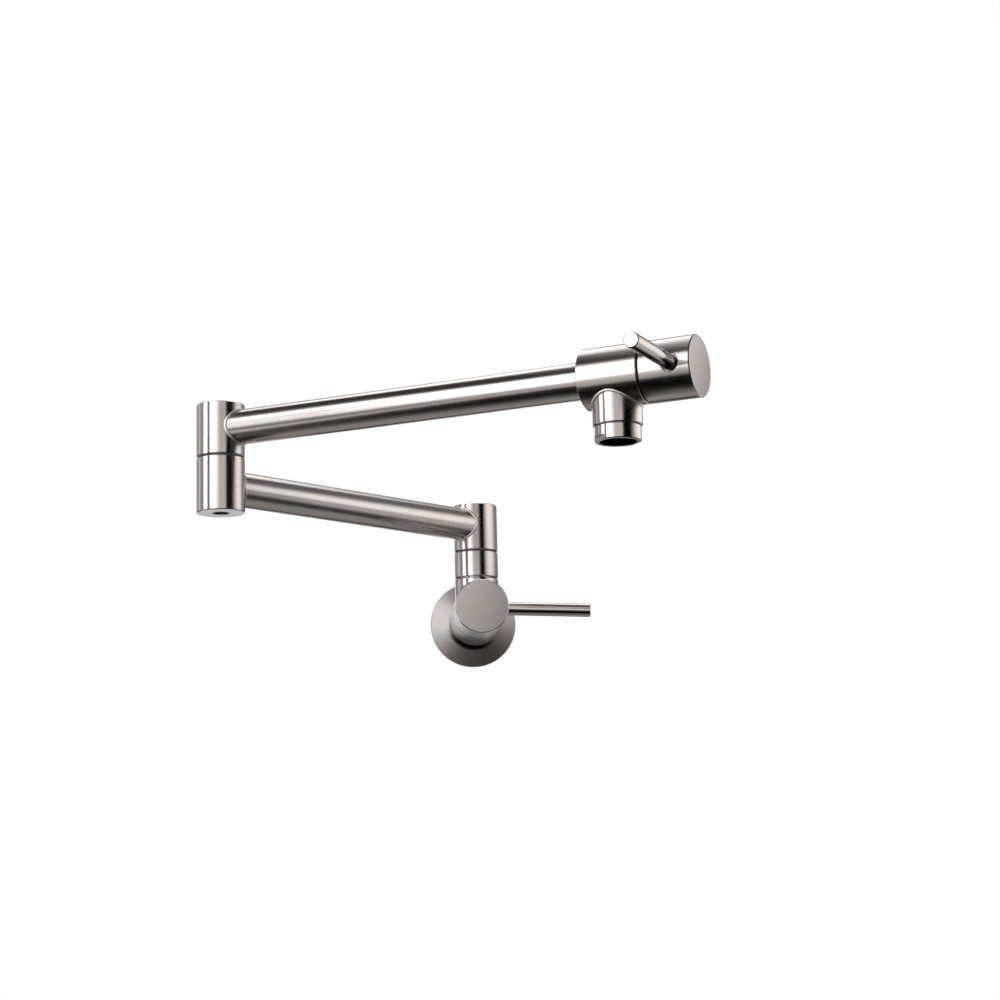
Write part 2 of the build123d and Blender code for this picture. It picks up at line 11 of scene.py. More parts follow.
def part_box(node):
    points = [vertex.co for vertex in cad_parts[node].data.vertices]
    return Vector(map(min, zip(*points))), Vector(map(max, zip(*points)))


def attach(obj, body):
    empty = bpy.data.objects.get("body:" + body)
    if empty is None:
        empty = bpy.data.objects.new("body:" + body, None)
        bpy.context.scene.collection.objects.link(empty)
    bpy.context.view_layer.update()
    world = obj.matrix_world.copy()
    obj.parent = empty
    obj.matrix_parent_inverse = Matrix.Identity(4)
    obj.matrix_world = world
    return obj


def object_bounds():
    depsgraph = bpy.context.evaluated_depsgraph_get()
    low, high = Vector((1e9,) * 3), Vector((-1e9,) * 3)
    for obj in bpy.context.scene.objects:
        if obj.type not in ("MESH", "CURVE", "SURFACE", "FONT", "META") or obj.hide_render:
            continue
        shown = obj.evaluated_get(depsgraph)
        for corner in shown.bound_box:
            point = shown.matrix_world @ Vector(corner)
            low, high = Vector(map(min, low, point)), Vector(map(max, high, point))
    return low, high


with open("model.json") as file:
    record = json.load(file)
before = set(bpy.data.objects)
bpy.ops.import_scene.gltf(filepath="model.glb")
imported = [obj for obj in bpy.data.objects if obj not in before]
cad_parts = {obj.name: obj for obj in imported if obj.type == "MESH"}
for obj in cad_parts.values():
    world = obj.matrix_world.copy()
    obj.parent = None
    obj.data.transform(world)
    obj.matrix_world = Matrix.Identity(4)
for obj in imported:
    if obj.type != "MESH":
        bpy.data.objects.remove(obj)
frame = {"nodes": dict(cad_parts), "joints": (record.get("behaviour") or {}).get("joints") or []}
cad_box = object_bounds()

bl_info = {
    "name": "Folding Kitchen Faucet Finish",
    "version": (1, 0, 0),
    "blender": (4, 5, 0),
    "location": "3D View > Sidebar > Faucet",
    "description": "Brushed nickel finish, inner materials and studio for a folding kitchen faucet",
    "category": "Material",
}

MM = 0.001
UP = Vector((0, 0, 1))
LEVEL = Vector((1, 1, 0))  # multiplies a point to drop its height
FLAT = 0.99  # cosine above which a surface counts as a flat end
UPRIGHT = 0.1  # sine of an axis's lean under which it counts as upright
WHITE = (1.0, 1.0, 1.0)
CARD_SIDES = ("Left", "Right", "Low", "High")
joints = {joint["name"]: joint for joint in frame["joints"]}


# Lines that the pieces are turned and brushed about, each a point and a direction

def middle(node):
    """Mean of a node's points, which lies on the axis of a round piece."""
    points = [corner.co for corner in frame["nodes"][node].data.vertices]
    return sum(points, Vector()) / len(points)


def joint_point(name):
    """Where a joint's axis stands."""
    return Vector(joints[name]["pos_m"])


def joint_way(name):
    """Direction of a joint's axis."""
    return Vector(joints[name]["axis"]).normalized()


def lever_line(node, valve_point, valve_way):
    """A lever's axis: square to its valve's axis, and through the lever."""
    centre = middle(node)
    foot = valve_point + valve_way * (centre - valve_point).dot(valve_way)
    return foot, (centre - foot).normalized()


def level_way(start, end):
    """Level direction from one point towards another."""
    return ((end - start) * LEVEL).normalized()


riser_line = (joint_point("riser_swivel"), UP)
elbow_line = (joint_point("elbow_swivel"), UP)
wall_line = (joint_point("wall_valve_turn"), -joint_way("wall_valve_turn"))
spout_line = (joint_point("spout_valve_turn"), -joint_way("spout_valve_turn"))
neck_line = (middle("spout_neck"), UP)
lower_arm_line = (middle("lower_arm_tube"), level_way(riser_line[0], elbow_line[0]))
wall_lever_line = lever_line("wall_lever", *wall_line)
spout_lever_line = lever_line("spout_lever", *spout_line)


def half_width(node, axis):
    """Radius of a round node, from its box along one world axis."""
    low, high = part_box(node)
    return (high[axis] - low[axis]) / 2


# Features that a brushed piece can have

class Branch(NamedTuple):
    """Stub on a turned piece: the line it is turned about, and the distance from the piece's own
    line at which it starts."""
    line: tuple
    radius: float


class FlatEnd(NamedTuple):
    """Look of a piece's flat ends: painted shading with a lit tone and a shaded tone at two opposite
    edges, added roughness, and radius.
    """
    lit_end_tone: float
    shaded_end_tone: float
    roughness: float
    reach: float


class PaintedShadeBore(NamedTuple):
    """Painted shade in the middle of a piece: radii up to which the colour is painted dark and from
    which it is left bright, and the side that the painted shade is kept to, if any."""
    dark_radius: float
    bright_radius: float
    side: Vector = None


# Settings

class FaucetFinish(bpy.types.PropertyGroup):
    """Colours and brushing of the faucet's materials."""
    nickel: FloatVectorProperty(
        name="Nickel", description="Bright part of the brushed nickel",
        default=(0.63, 0.592, 0.572), size=3, subtype="COLOR", min=0, max=1)
    nickel_shade: FloatVectorProperty(
        name="Nickel Shade", description="Dull part of the brushed nickel, between its lines",
        default=(0.585, 0.548, 0.528), size=3, subtype="COLOR", min=0, max=1)
    line_spacing: FloatProperty(
        name="Line Spacing", description="Distance between brushing lines",
        default=0.0006, precision=5, unit="LENGTH")
    line_length: FloatProperty(
        name="Line Length", description="Length of a brushing line",
        default=0.014, precision=4, unit="LENGTH")
    line_depth: FloatProperty(
        name="Line Depth", description="Depth of the brushing lines",
        default=0.000004, precision=7, unit="LENGTH")
    roughness: FloatProperty(
        name="Roughness", description="Mean roughness of the brushed nickel",
        default=0.215, min=0, max=1)
    polish: FloatProperty(
        name="Polish", description="Roughness of the polished levers",
        default=0.11, min=0, max=1)
    # Painted shade: the dark colour painted into the screw recesses, the aerator's mouth and the flange
    # under the valve's barrel
    bore: FloatVectorProperty(
        name="Bore", description="Screw recesses, the aerator's mouth and the shade in the flange",
        default=(0.012, 0.011, 0.011), size=3, subtype="COLOR", min=0, max=1)
    # Painted highlight: the braze beads are drawn near white, brighter than the nickel, for a bright
    # line along the seams.
    bead: FloatVectorProperty(
        name="Bead", description="Bare braze of the beads",
        default=(0.98, 0.96, 0.94), size=3, subtype="COLOR", min=0, max=1)
    bead_radius: FloatProperty(
        name="Bead Radius", description="Radius of the braze beads where tubes meet round pieces",
        default=0.0009, precision=5, unit="LENGTH")
    bead_roughness: FloatProperty(
        name="Bead Roughness", description="Roughness of the braze beads",
        default=0.4, min=0, max=1)
    end_rim: FloatProperty(
        name="End Rim", description="Width of the bright rim round a handle cap's satin end",
        default=0.0007, precision=4, unit="LENGTH")
    brass: FloatVectorProperty(
        name="Brass", description="Bare brass of spindles, stems and cartridges",
        default=(0.72, 0.52, 0.24), size=3, subtype="COLOR", min=0, max=1)
    screw_steel: FloatVectorProperty(
        name="Screw Steel", description="Dark steel of the lock screws",
        default=(0.10, 0.10, 0.105), size=3, subtype="COLOR", min=0, max=1)
    rubber: FloatVectorProperty(
        name="Rubber", description="Seals and gaskets",
        default=(0.022, 0.022, 0.023), size=3, subtype="COLOR", min=0, max=1)
    nylon: FloatVectorProperty(
        name="Nylon", description="Slip washers",
        default=(0.035, 0.035, 0.036), size=3, subtype="COLOR", min=0, max=1)
    screen_plastic: FloatVectorProperty(
        name="Screen Plastic", description="Aerator insert",
        default=(0.05, 0.052, 0.055), size=3, subtype="COLOR", min=0, max=1)
    ceramic: FloatVectorProperty(
        name="Ceramic", description="Valve discs",
        default=(0.80, 0.80, 0.77), size=3, subtype="COLOR", min=0, max=1)


class FaucetStudio(bpy.types.PropertyGroup):
    """Floor, background and the cards that the metal mirrors."""
    background: FloatProperty(
        name="Background", description="Strength of the white background",
        default=1.0, min=0)
    light: FloatProperty(
        name="Light", description="Strength of the soft light from all round",
        default=1.0, min=0)
    floor_drop: FloatProperty(
        name="Floor Drop", description="Distance of the floor under the origin",
        default=1.4, unit="LENGTH")
    floor_reach: FloatProperty(
        name="Floor Reach", description="Half the floor's side",
        default=6.0, unit="LENGTH")
    floor_tone: FloatProperty(
        name="Floor Tone", description="Grey value of the pale floor",
        default=0.8, min=0, max=1)
    card_distance: FloatProperty(
        name="Card Distance", description="Distance of the furthest card from the faucet's middle",
        default=1.3, unit="LENGTH")


class FaucetCamera(bpy.types.PropertyGroup):
    """The photograph's view."""
    place: FloatVectorProperty(
        name="Place", description="Where the camera stands",
        default=(-0.10036, -1.55065, -0.20249), size=3, subtype="TRANSLATION", unit="LENGTH")
    pan: FloatProperty(
        name="Pan", description="Turn to the left of straight at the wall",
        default=math.radians(-4.486), subtype="ANGLE")
    tilt: FloatProperty(
        name="Tilt", description="Turn upwards",
        default=math.radians(10.646), subtype="ANGLE")
    roll: FloatProperty(
        name="Roll", description="Turn about the line of sight",
        default=math.radians(-1.404), subtype="ANGLE")
    lens: FloatProperty(
        name="Lens", description="Focal length in millimetres", default=79.546)
    sensor: FloatProperty(
        name="Sensor", description="Sensor width in millimetres", default=36.0)


# Node helpers

def add_node(tree, kind, place, inputs=None, **settings):
    """Adds a shader node; each input is given a value, or a link from another node's output."""
    node = tree.nodes.new(kind)
    node.location = place
    for name, value in settings.items():
        setattr(node, name, value)
    for socket, value in (inputs or {}).items():
        if isinstance(value, bpy.types.NodeSocket):
            tree.links.new(value, node.inputs[socket])
        else:
            node.inputs[socket].default_value = value
    return node


def math_out(tree, place, operation, *values):
    """Output of a Math node."""
    node = add_node(tree, "ShaderNodeMath", place, dict(enumerate(values)), operation=operation)
    return node.outputs["Value"]


def vector_out(tree, place, operation, *values, scale=None):
    """Output of a Vector Math node: a number for a dot product or a length, else a vector."""
    inputs = dict(enumerate(values))
    if scale is not None:
        inputs["Scale"] = scale
    node = add_node(tree, "ShaderNodeVectorMath", place, inputs, operation=operation)
    return node.outputs["Value" if operation in ("DOT_PRODUCT", "LENGTH") else "Vector"]


def spread_out(tree, place, value, low, high, to_low=0.0, to_high=1.0, smooth=False):
    """Output of a Map Range node."""
    inputs = {"Value": value, "From Min": low, "From Max": high, "To Min": to_low, "To Max": to_high}
    kind = "SMOOTHSTEP" if smooth else "LINEAR"
    node = add_node(tree, "ShaderNodeMapRange", place, inputs, interpolation_type=kind)
    return node.outputs["Result"]


def blend_colour(tree, place, share, first, second):
    """Colour output of a Mix node."""
    inputs = {0: share, 6: first, 7: second}
    return add_node(tree, "ShaderNodeMix", place, inputs, data_type="RGBA").outputs[2]


def blend_vector(tree, place, share, first, second):
    """Vector output of a Mix node."""
    inputs = {0: share, 4: first, 5: second}
    return add_node(tree, "ShaderNodeMix", place, inputs, data_type="VECTOR").outputs[1]


def noise_out(tree, place, spot, detail, roughness=0.5, distortion=0.0):
    """Output of a Noise Texture node whose grains are about one unit wide."""
    inputs = {"Vector": spot, "Scale": 1.0, "Detail": detail, "Roughness": roughness,
              "Distortion": distortion}
    return add_node(tree, "ShaderNodeTexNoise", place, inputs).outputs[0]


def offset_out(tree, place, point):
    """The shaded point as seen from another one, in the object's own frame."""
    x, y = place
    here = add_node(tree, "ShaderNodeTexCoord", place).outputs["Object"]
    return vector_out(tree, (x + 200, y), "SUBTRACT", here, point)


def distance_off(tree, place, point, way):
    """Distance of the shaded point from a line."""
    x, y = place
    offset = offset_out(tree, place, point)
    off_line = vector_out(tree, (x + 400, y), "CROSS_PRODUCT", offset, way)
    return vector_out(tree, (x + 600, y), "LENGTH", off_line)


def distance_along(tree, place, point, way):
    """How far the shaded point lies from another one in a direction."""
    x, y = place
    offset = offset_out(tree, place, point)
    return vector_out(tree, (x + 400, y), "DOT_PRODUCT", offset, way)


def flat_end_out(tree, place, way):
    """1 where the surface is square to an axis, as on a flat end, and 0 elsewhere."""
    x, y = place
    facing = add_node(tree, "ShaderNodeNewGeometry", place).outputs["True Normal"]
    facing = add_node(tree, "ShaderNodeVectorTransform", (x + 200, y), {"Vector": facing},
                      vector_type="NORMAL", convert_from="WORLD", convert_to="OBJECT").outputs["Vector"]
    square_on = vector_out(tree, (x + 400, y), "DOT_PRODUCT", facing, way)
    square_on = math_out(tree, (x + 600, y), "ABSOLUTE", square_on)
    return math_out(tree, (x + 800, y), "GREATER_THAN", square_on, FLAT)


def new_group(name, inputs, outputs):
    """Shader node group with named sockets; gives the tree, its inputs and its output node."""
    tree = bpy.data.node_groups.new(name, "ShaderNodeTree")
    for label, kind, value in inputs:
        socket = tree.interface.new_socket(label, in_out="INPUT", socket_type=kind)
        if value is not None:
            socket.default_value = value
    for label in outputs:
        tree.interface.new_socket(label, in_out="OUTPUT", socket_type="NodeSocketFloat")
    given = add_node(tree, "NodeGroupInput", (-1600, 0)).outputs
    made = add_node(tree, "NodeGroupOutput", (1000, 0))
    return tree, given, made


def place_group(tree, name, place, inputs):
    """Puts a node group into a material and gives its outputs."""
    group = bpy.data.node_groups[name]
    return add_node(tree, "ShaderNodeGroup", place, inputs, node_tree=group).outputs


def rgba(colour):
    """Colour with full alpha."""
    return (*colour, 1.0)


def darker(colour, share):
    """Colour at a share of its strength."""
    return tuple(channel * share for channel in colour)


# Shared effects

def make_brushing():
    """Lines round a turned piece, and straight lines on its flat ends."""
    tree, given, made = new_group("Brushing", [
        ("Axis Point", "NodeSocketVector", None),
        ("Axis Way", "NodeSocketVector", None),
        ("End Grain Way", "NodeSocketVector", None),
        ("Line Spacing", "NodeSocketFloat", 0.0002),
        ("Line Length", "NodeSocketFloat", 0.01),
    ], ["Lines", "Scratches", "Flat End"])
    line_low, line_high = 0.25, 0.75
    scratch_low, scratch_high = 0.62, 0.9
    scratch_scale = 0.23
    way, grain = given["Axis Way"], given["End Grain Way"]
    spacing, length = given["Line Spacing"], given["Line Length"]
    flat_end = flat_end_out(tree, (-1600, 700), way)
    offset = offset_out(tree, (-1600, 300), given["Axis Point"])
    along = vector_out(tree, (-1200, 400), "DOT_PRODUCT", offset, way)
    axial = vector_out(tree, (-1000, 400), "SCALE", way, scale=along)
    outward = vector_out(tree, (-800, 300), "SUBTRACT", offset, axial)
    turned_place = math_out(tree, (-600, 400), "DIVIDE", along, spacing)
    turned_place = vector_out(tree, (-400, 400), "SCALE", way, scale=turned_place)
    length_share = math_out(tree, (-600, 100), "DIVIDE", 1.0, length)
    turned_run = vector_out(tree, (-400, 200), "SCALE", outward, scale=length_share)
    turned = vector_out(tree, (-200, 300), "ADD", turned_place, turned_run)
    cross_grain = vector_out(tree, (-1000, -200), "CROSS_PRODUCT", way, grain)
    end_step = vector_out(tree, (-800, -200), "DOT_PRODUCT", offset, cross_grain)
    end_step = math_out(tree, (-600, -200), "DIVIDE", end_step, spacing)
    end_place = vector_out(tree, (-400, -200), "SCALE", cross_grain, scale=end_step)
    end_run = vector_out(tree, (-800, -400), "DOT_PRODUCT", offset, grain)
    end_run = math_out(tree, (-600, -400), "DIVIDE", end_run, length)
    end_run = vector_out(tree, (-400, -400), "SCALE", grain, scale=end_run)
    straight = vector_out(tree, (-200, -300), "ADD", end_place, end_run)
    place = blend_vector(tree, (0, 100), flat_end, turned, straight)
    fine = noise_out(tree, (200, 200), place, detail=3.0, roughness=0.6)
    sparse_place = vector_out(tree, (200, -100), "SCALE", place, scale=scratch_scale)
    sparse = noise_out(tree, (400, -100), sparse_place, detail=1.0)
    lines = spread_out(tree, (600, 200), fine, line_low, line_high)
    scratches = spread_out(tree, (600, -100), sparse, scratch_low, scratch_high)
    tree.links.new(lines, made.inputs["Lines"])
    tree.links.new(scratches, made.inputs["Scratches"])
    tree.links.new(flat_end, made.inputs["Flat End"])


def make_cloud(name, size_label, size, output, detail, distortion):
    """Even noise whose grains have a given size."""
    low, high = 0.3, 0.7
    tree, given, made = new_group(name, [(size_label, "NodeSocketFloat", size)], [output])
    here = add_node(tree, "ShaderNodeTexCoord", (-1000, 0)).outputs["Object"]
    size_share = math_out(tree, (-1000, -200), "DIVIDE", 1.0, given[size_label])
    place = vector_out(tree, (-800, 0), "SCALE", here, scale=size_share)
    cloud = noise_out(tree, (-600, 0), place, detail, distortion=distortion)
    tree.links.new(spread_out(tree, (-400, 0), cloud, low, high), made.inputs[output])


def make_card_edge():
    """Soft edges of a card: 0 at its rim and 1 inside."""
    inputs = [(side, "NodeSocketFloat", 0.1) for side in CARD_SIDES]
    tree, given, made = new_group("Card Edge", inputs, ["Mask"])
    here = add_node(tree, "ShaderNodeTexCoord", (-1400, 0)).outputs["UV"]
    split = add_node(tree, "ShaderNodeSeparateXYZ", (-1200, 0), {0: here}).outputs
    from_right = math_out(tree, (-1000, -100), "SUBTRACT", 1.0, split["X"])
    from_high = math_out(tree, (-1000, -300), "SUBTRACT", 1.0, split["Y"])
    distances = (split["X"], from_right, split["Y"], from_high)
    mask = 1.0
    for row, (side, distance) in enumerate(zip(CARD_SIDES, distances)):
        ramp = spread_out(tree, (-700, -200 * row), distance, 0.0, given[side], smooth=True)
        mask = math_out(tree, (-400, -200 * row), "MULTIPLY", mask, ramp)
    tree.links.new(mask, made.inputs["Mask"])


# Materials

def new_material(name):
    """Material with an empty node tree; gives both."""
    material = bpy.data.materials.new(name)
    material.use_nodes = True
    material.node_tree.nodes.clear()
    return material, material.node_tree


def show_surface(tree, shader):
    """Ends a material's tree with its output node."""
    add_node(tree, "ShaderNodeOutputMaterial", (1400, 0), {"Surface": shader})


def brushing_tangent(tree, point, way, end_grain):
    """Direction in which the metal is brushed: round the axis, or straight across a flat end."""
    flat_end = flat_end_out(tree, (-1000, -1000), way)
    offset = offset_out(tree, (-1000, -700), point)
    round_way = vector_out(tree, (-600, -700), "CROSS_PRODUCT", way, offset)
    round_way = vector_out(tree, (-400, -700), "NORMALIZE", round_way)
    line = blend_vector(tree, (0, -800), flat_end, round_way, end_grain)
    return add_node(tree, "ShaderNodeVectorTransform", (200, -800), {"Vector": line},
                    vector_type="VECTOR", convert_from="OBJECT", convert_to="WORLD").outputs["Vector"]


def level_square(way):
    """Level direction square to an axis, for the grain of its flat ends."""
    side = way.cross(UP)
    return side.normalized() if side.length > UPRIGHT else Vector((1, 0, 0))


def end_look(tree, flat_end, line, end, colour):
    """Mask and colour of flat ends inside their reach. Seen from the axis's tip, the colour changes
    from the upper left to the lower right: painted shading, lit at the upper left and shaded at the
    lower right."""
    point, way = line
    fade = 0.2 * MM
    fall = 0.5
    off_axis = distance_off(tree, (-1800, 1400), tuple(point), tuple(way))
    inside = spread_out(tree, (-1000, 1400), off_axis, end.reach, end.reach + fade, 1.0, 0.0)
    mask = math_out(tree, (-800, 1400), "MULTIPLY", flat_end, inside)
    toward_shaded_edge = (-UP * fall - level_square(way)).normalized()
    across = distance_along(tree, (-1800, 1100), tuple(point), tuple(toward_shaded_edge))
    share = spread_out(tree, (-1200, 1100), across, -end.reach, end.reach)
    lit_end_colour = rgba(darker(colour, end.lit_end_tone))
    shaded_end_colour = rgba(darker(colour, end.shaded_end_tone))
    return mask, blend_colour(tree, (-1000, 1100), share, lit_end_colour, shaded_end_colour)


def painted_shade_mask(tree, point, way, bore):
    """Mask of painted shade: 1 near the axis and 0 from its bright radius on, kept to its side if any.
    """
    off_axis = distance_off(tree, (-1800, 600), point, way)
    mask = spread_out(tree, (-1000, 600), off_axis, bore.dark_radius, bore.bright_radius,
                      1.0, 0.0, smooth=True)
    if bore.side is None:
        return mask
    side_start, side_full = 0.3 * bore.dark_radius, 0.85 * bore.dark_radius
    along = distance_along(tree, (-1800, 800), point, tuple(bore.side))
    kept = spread_out(tree, (-1200, 800), along, side_start, side_full, smooth=True)
    return math_out(tree, (-800, 600), "MULTIPLY", mask, kept)


def brushed_metal(name, line, bright, dull, roughness, branch=None, end=None, dark_bore=None,
                  stretch=0.9, depth=1.0):
    """Metal brushed about a line. Stretch is how far the brushing draws out a highlight, and depth
    scales the lines. Branch, end and painted shade are features that a piece can have; the end
    paints shading across flat ends, lit at the upper left and shaded at the lower right."""
    finish = bpy.context.scene.faucet_finish
    material, tree = new_material(name)
    mark_size = 0.035
    dull_gloss, bright_gloss = roughness + 0.02, roughness - 0.015
    clean_gloss, marked_gloss = -0.01, 0.02
    point, way = (tuple(part) for part in line)
    end_grain = tuple(level_square(line[1]))
    if branch:
        branch_point, branch_way = branch.line
        off_axis = distance_off(tree, (-1800, 0), point, way)
        on_branch = math_out(tree, (-1000, 0), "GREATER_THAN", off_axis, branch.radius)
        point = blend_vector(tree, (-800, 100), on_branch, point, tuple(branch_point))
        way = blend_vector(tree, (-800, -100), on_branch, way, tuple(branch_way))
        branch_grain = tuple(level_square(branch_way))
        end_grain = blend_vector(tree, (-800, -300), on_branch, end_grain, branch_grain)
    brushing = place_group(tree, "Brushing", (-400, 200), {
        "Axis Point": point, "Axis Way": way, "End Grain Way": end_grain,
        "Line Spacing": finish.line_spacing, "Line Length": finish.line_length,
    })
    marks = place_group(tree, "Handling", (-400, -200), {"Size": mark_size})["Marks"]
    lines = brushing["Lines"]
    colour = blend_colour(tree, (0, 300), lines, rgba(dull), rgba(bright))
    line_gloss = spread_out(tree, (0, 0), lines, 0.0, 1.0, dull_gloss, bright_gloss)
    mark_gloss = spread_out(tree, (0, -250), marks, 0.0, 1.0, clean_gloss, marked_gloss)
    gloss = math_out(tree, (250, 0), "ADD", line_gloss, mark_gloss)
    if end:
        # Painted shading on the flat ends, from a lit tone to a shaded tone.
        on_end, painted_end_shading = end_look(tree, brushing["Flat End"], line, end, bright)
        colour = blend_colour(tree, (250, 300), on_end, colour, painted_end_shading)
        end_gloss = math_out(tree, (0, -450), "MULTIPLY", on_end, end.roughness)
        gloss = math_out(tree, (450, 0), "ADD", gloss, end_gloss)
    # Painted shade: the colour is painted dark in the piece's middle.
    if dark_bore:
        in_painted_shade = painted_shade_mask(tree, point, way, dark_bore)
        colour = blend_colour(tree, (650, 300), in_painted_shade, colour, rgba(finish.bore))
    height = math_out(tree, (250, -300), "SUBTRACT", lines, brushing["Scratches"])
    bump = add_node(tree, "ShaderNodeBump", (500, -300),
                    {"Strength": 1.0, "Distance": finish.line_depth * depth, "Height": height})
    shader = add_node(tree, "ShaderNodeBsdfPrincipled", (1000, 0), {
        "Base Color": colour, "Metallic": 1.0, "Roughness": gloss, "Normal": bump.outputs["Normal"],
        "Anisotropic": stretch, "Anisotropic Rotation": 0.25,
        "Tangent": brushing_tangent(tree, point, way, end_grain),
    })
    show_surface(tree, shader.outputs["BSDF"])
    return material


def nickel(name, line, roughness=None, tone=1.0, **features):
    """Brushed nickel on a piece that was turned about a line. A tone under 1 paints shade over all of
    it, and a tone over 1 paints light.
    """
    finish = bpy.context.scene.faucet_finish
    roughness = roughness or finish.roughness
    bright, dull = darker(finish.nickel, tone), darker(finish.nickel_shade, tone)
    return brushed_metal(name, line, bright, dull, roughness, **features)


def bright_nickel(name, line, tone):
    """Nickel that was polished before plating, with faint lines. Its tone paints light over the piece
    above 1 and shade below 1.
    """
    finish = bpy.context.scene.faucet_finish
    dull_share = 0.9
    bright = darker(finish.nickel, tone)
    dull = darker(bright, dull_share)
    return brushed_metal(name, line, bright, dull, finish.polish, stretch=0.4, depth=0.1)


def brass(name, line):
    """Bare brass, dull with age."""
    age_share, dull_share = 0.6, 0.8
    bright = darker(bpy.context.scene.faucet_finish.brass, age_share)
    return brushed_metal(name, line, bright, darker(bright, dull_share), roughness=0.3)


def screw_steel(name, line):
    """Dark steel of a screw."""
    dull_share = 0.6
    bright = bpy.context.scene.faucet_finish.screw_steel
    return brushed_metal(name, line, bright, darker(bright, dull_share), roughness=0.35)


def moulded(name, colour, roughness, grain, depth):
    """Rubber, plastic or ceramic with a fine even grain."""
    material, tree = new_material(name)
    mark_size = 0.008
    hollow_share = 0.85
    clean_gloss, marked_gloss = roughness - 0.04, roughness + 0.06
    speckle = place_group(tree, "Speckle", (-400, 0), {"Grain": grain})["Speckle"]
    marks = place_group(tree, "Handling", (-400, -200), {"Size": mark_size})["Marks"]
    hollow = darker(colour, hollow_share)
    tone = blend_colour(tree, (0, 200), speckle, rgba(hollow), rgba(colour))
    gloss = spread_out(tree, (0, -100), marks, 0.0, 1.0, clean_gloss, marked_gloss)
    bump = add_node(tree, "ShaderNodeBump", (300, -300),
                    {"Strength": 1.0, "Distance": depth, "Height": speckle})
    shader = add_node(tree, "ShaderNodeBsdfPrincipled", (1000, 0),
                      {"Base Color": tone, "Roughness": gloss, "Normal": bump.outputs["Normal"]})
    show_surface(tree, shader.outputs["BSDF"])
    return material


def dress(material, *nodes):
    """Gives CAD nodes a material in place of the plain one."""
    for node in nodes:
        frame["nodes"][node].material_slots[0].material = material


def cap_end(cap, lit_end_tone, shaded_end_tone, roughness):
    """Flat end of a handle cap, inside its bright rim, with painted shading from a lit to a shaded tone.
    """
    reach = half_width(cap, 2) - bpy.context.scene.faucet_finish.end_rim
    return FlatEnd(lit_end_tone, shaded_end_tone, roughness, reach)


def screw_recess_shade(screw):
    """Painted shade in the recess that a lock screw sits in."""
    radius = half_width(screw, 0)
    return PaintedShadeBore(dark_radius=radius + 0.1 * MM, bright_radius=radius + 0.3 * MM)


# Meshes

def add_mesh(name, build):
    """Object with the mesh that build makes in a bmesh."""
    shape = bmesh.new()
    build(shape)
    mesh = bpy.data.meshes.new(name)
    shape.to_mesh(mesh)
    shape.free()
    made = bpy.data.objects.new(name, mesh)
    bpy.context.scene.collection.objects.link(made)
    return made


# Braze beads

def saddle_line(hub_way, hub_radius, tube_foot, tube_way, tube_radius):
    """Points where a tube's side meets a round piece, each with the tube's outward direction."""
    count = 96
    side = hub_way.cross(tube_way).normalized()
    line = []
    for step in range(count):
        turn = math.tau * step / count
        outward = side * math.sin(turn) + hub_way * math.cos(turn)
        reach = math.sqrt(hub_radius ** 2 - (tube_radius * math.sin(turn)) ** 2)
        line.append((tube_foot + tube_way * reach + outward * tube_radius, outward))
    return line


def add_bead(name, body, material, saddle):
    """Thin braze fillet along the seam where a tube meets a round piece; it moves with the body. Its
    near-white colour is a painted highlight.
    """
    radius = bpy.context.scene.faucet_finish.bead_radius
    corners = 10

    def build(shape):
        rings = []
        for step, (spot, outward) in enumerate(saddle):
            run = saddle[(step + 1) % len(saddle)][0] - saddle[step - 1][0]
            aside = run.cross(outward).normalized()
            turns = [math.tau * corner / corners for corner in range(corners)]
            offsets = [outward * math.cos(turn) + aside * math.sin(turn) for turn in turns]
            rings.append([shape.verts.new(spot + offset * radius) for offset in offsets])
        for step, here in enumerate(rings):
            ahead = rings[(step + 1) % len(rings)]
            for corner in range(corners):
                after = (corner + 1) % corners
                face = shape.faces.new((here[corner], here[after], ahead[after], ahead[corner]))
                face.smooth = True
        bmesh.ops.recalc_face_normals(shape, faces=shape.faces)

    bead = add_mesh(name, build)
    bead.data.materials.append(material)
    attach(bead, body)


# Cards

def look_way(azimuth, elevation):
    """Direction by its angles in degrees: azimuth 0 is out of the wall and 90 to the right."""
    turn = math.radians(azimuth)
    lift = math.radians(elevation)
    level = math.cos(lift)
    return Vector((math.sin(turn) * level, -math.cos(turn) * level, math.sin(lift)))


def round_sheet(azimuths, elevations, distance):
    """Part of a ball round the faucet's middle: its shape, and its width and height in degrees."""
    centre = (cad_box[0] + cad_box[1]) / 2
    width = azimuths[1] - azimuths[0]
    height = elevations[1] - elevations[0]

    def place(across, rise):
        way = look_way(azimuths[0] + width * across, elevations[0] + height * rise)
        return centre + way * distance

    return place, width, height


def flat_sheet(corner, right, up):
    """Upright or lying sheet between two edges: its shape, and its width and height in metres."""
    corner, right, up = Vector(corner), Vector(right), Vector(up)

    def place(across, rise):
        return corner + right * across + up * rise

    return place, right.length, up.length


def card_material(name, colour, strength, edges):
    """Glowing or dark card that fades out at its edges."""
    material, tree = new_material(name)
    mask = place_group(tree, "Card Edge", (-200, 0), edges)["Mask"]
    glow = add_node(tree, "ShaderNodeEmission", (0, 200), {"Color": rgba(colour), "Strength": strength})
    clear = add_node(tree, "ShaderNodeBsdfTransparent", (0, -200))
    mixed = add_node(tree, "ShaderNodeMixShader", (300, 0),
                     {0: mask, 1: clear.outputs[0], 2: glow.outputs[0]})
    show_surface(tree, mixed.outputs[0])
    material.cycles.emission_sampling = "NONE"
    return material


